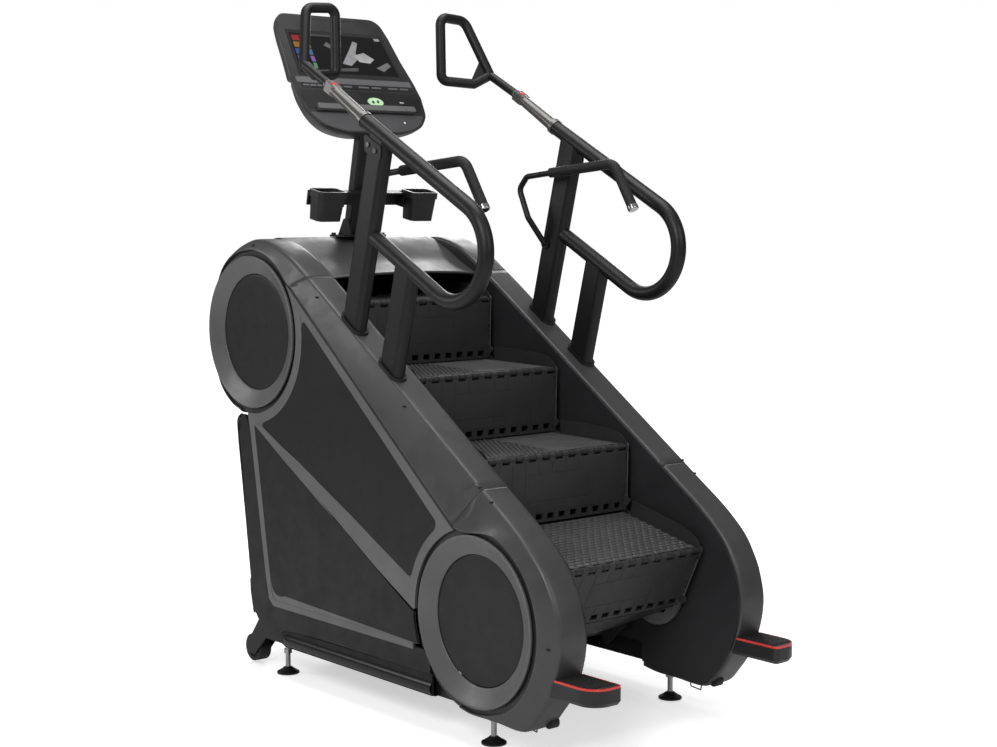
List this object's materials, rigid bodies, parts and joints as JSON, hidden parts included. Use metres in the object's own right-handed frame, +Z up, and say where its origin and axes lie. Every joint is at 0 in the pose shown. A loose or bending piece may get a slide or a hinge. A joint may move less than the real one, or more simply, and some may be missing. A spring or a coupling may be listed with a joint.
{
  "type": "stair climber",
  "caption": "Gym stair climber with a revolving staircase between moulded side housings, tubular hand rails on uprights, loop handles, a console on a mast, cup holders and side foot rests.",
  "frame": {"origin": "middle of the footprint on the floor, under the levelling feet", "axes": "+Z up, +Y in the climbing direction towards the console, +X to the climbing user's right"},
  "size_m": [0.86, 1.84, 2.1457],
  "materials": {
    "cover_charcoal": "satin",
    "wall_dark": "satin",
    "panel_black": "satin black",
    "trim_grey": "satin",
    "disc_dark": "satin",
    "disc_grey": "satin",
    "black_metal": "powder coat",
    "collar_chrome": "polished",
    "grip_silver": "satin",
    "foam_black": "foam",
    "console_black": "satin",
    "screen_glass": "glossy",
    "pod_rubber": "ribbed",
    "light_red": "glossy",
    "button_green": "glossy",
    "step_grey": "textured",
    "steel": "zinc plated",
    "cast_iron": "machined",
    "wheel_rubber": "matt"
  },
  "bodies": {
    "frame": {"alternator": "cast_iron", "base_frame": "black_metal", "bearings": "steel", "console_bezel": "console_black", "console_housing": "cover_charcoal", "console_ledge": "grip_silver", "cup_holders": "console_black", "disc_inserts": "disc_dark", "disc_rings": "disc_grey", "drive_belt": "pod_rubber", "fasteners": "steel", "foam_grips": "foam_black", "foot_pods": "console_black", "front_uprights": "black_metal", "grip_end_caps": "collar_chrome", "hand_grips": "grip_silver", "hand_rails": "black_metal", "holder_crossbar": "black_metal", "horn_bars": "black_metal", "lane_walls": "wall_dark", "loop_handles": "black_metal", "lower_side_cover_left": "cover_charcoal", "lower_side_cover_right": "cover_charcoal", "lower_side_panel_left": "panel_black", "lower_side_panel_right": "panel_black", "mast": "black_metal", "pod_lights": "light_red", "pod_treads": "pod_rubber", "rail_brackets": "black_metal", "rear_cover": "cover_charcoal", "rear_uprights": "black_metal", "side_skirts": "wall_dark", "side_trim_left": "trim_grey", "side_trim_right": "trim_grey", "step_chains": "steel", "top_hood": "cover_charcoal", "touch_screen": "screen_glass", "upper_side_cover_left": "cover_charcoal", "upper_side_cover_right": "cover_charcoal", "upper_side_panel_left": "panel_black", "upper_side_panel_right": "panel_black", "upright_collars": "black_metal"},
    "step_train": {"treads": "step_grey", "risers": "step_grey", "hinge_pins": "steel", "step_side_arms": "steel"},
    "return_train": {"return_steps": "step_grey"},
    "upper_drive": {"upper_sprocket_shaft": "steel", "drive_pulley": "cast_iron"},
    "lower_drive": {"lower_sprocket_shaft": "steel"},
    "rotor": {"flywheel": "cast_iron"},
    "stop_button": {"stop_button": "light_red"},
    "speed_button": {"speed_button": "light_red"},
    "start_button": {"start_button": "button_green"},
    "wheel_left": {"transport_wheel_left": "wheel_rubber"},
    "wheel_right": {"transport_wheel_right": "wheel_rubber"},
    "foot_front_left": {"front_foot_left": "steel"},
    "foot_front_right": {"front_foot_right": "steel"},
    "foot_rear_left": {"rear_foot_left": "steel"},
    "foot_rear_right": {"rear_foot_right": "steel"}
  },
  "joints": [
    {"name": "step_travel", "type": "slide", "parent": "frame", "child": "step_train", "axis": [0, -0.8318, -0.5551], "range_m": [-0.005, 0.05], "stiffness_N_per_m": 100000},
    {"name": "return_travel", "type": "slide", "parent": "frame", "child": "return_train", "axis": [0, -0.8318, -0.5551], "range_m": [-0.051, 0.006]},
    {"name": "upper_shaft_turn", "type": "hinge", "parent": "frame", "child": "upper_drive", "pos_m": [0, 0.675, 1.104], "axis": [1, 0, 0], "range_deg": [-3.13, 26.78]},
    {"name": "lower_shaft_turn", "type": "hinge", "parent": "frame", "child": "lower_drive", "pos_m": [0, -0.446, 0.356], "axis": [1, 0, 0], "range_deg": [-3.13, 26.78]},
    {"name": "rotor_turn", "type": "hinge", "parent": "frame", "child": "rotor", "pos_m": [-0.2, 0.33, 0.3], "axis": [1, 0, 0], "range_deg": [-11.51, 106.13]},
    {"name": "stop_press", "type": "slide", "parent": "frame", "child": "stop_button", "axis": [0, -0.5126, 0.8587], "range_m": [-0.002, 0], "stiffness_N_per_m": 800, "springref_m": 0.0005},
    {"name": "speed_press", "type": "slide", "parent": "frame", "child": "speed_button", "axis": [0, -0.5126, 0.8587], "range_m": [-0.002, 0], "stiffness_N_per_m": 800, "springref_m": 0.0005},
    {"name": "start_press", "type": "slide", "parent": "frame", "child": "start_button", "axis": [0, -0.8218, 0.5698], "range_m": [-0.0012, 0], "stiffness_N_per_m": 800, "springref_m": 0.0005},
    {"name": "wheel_left_spin", "type": "hinge", "parent": "frame", "child": "wheel_left", "pos_m": [-0.365, 0.742, 0.052], "axis": [1, 0, 0], "continuous": true},
    {"name": "wheel_right_spin", "type": "hinge", "parent": "frame", "child": "wheel_right", "pos_m": [0.365, 0.742, 0.052], "axis": [1, 0, 0], "continuous": true},
    {"name": "foot_front_left_height", "type": "slide", "parent": "frame", "child": "foot_front_left", "axis": [0, 0, 1], "range_m": [-0.01, 0.015], "stiffness_N_per_m": 200000},
    {"name": "foot_rear_left_height", "type": "slide", "parent": "frame", "child": "foot_rear_left", "axis": [0, 0, 1], "range_m": [-0.01, 0.015], "stiffness_N_per_m": 200000},
    {"name": "foot_front_right_height", "type": "slide", "parent": "frame", "child": "foot_front_right", "axis": [0, 0, 1], "range_m": [-0.01, 0.015], "stiffness_N_per_m": 200000},
    {"name": "foot_rear_right_height", "type": "slide", "parent": "frame", "child": "foot_rear_right", "axis": [0, 0, 1], "range_m": [-0.01, 0.015], "stiffness_N_per_m": 200000}
  ],
  "couplings": [
    {"joint": "return_travel", "follows": "step_travel", "ratio": -1},
    {"joint": "upper_shaft_turn", "follows": "step_travel", "rad_per_m": 9.1743},
    {"joint": "lower_shaft_turn", "follows": "step_travel", "rad_per_m": 9.1743},
    {"joint": "rotor_turn", "follows": "step_travel", "rad_per_m": 36.697}
  ]
}
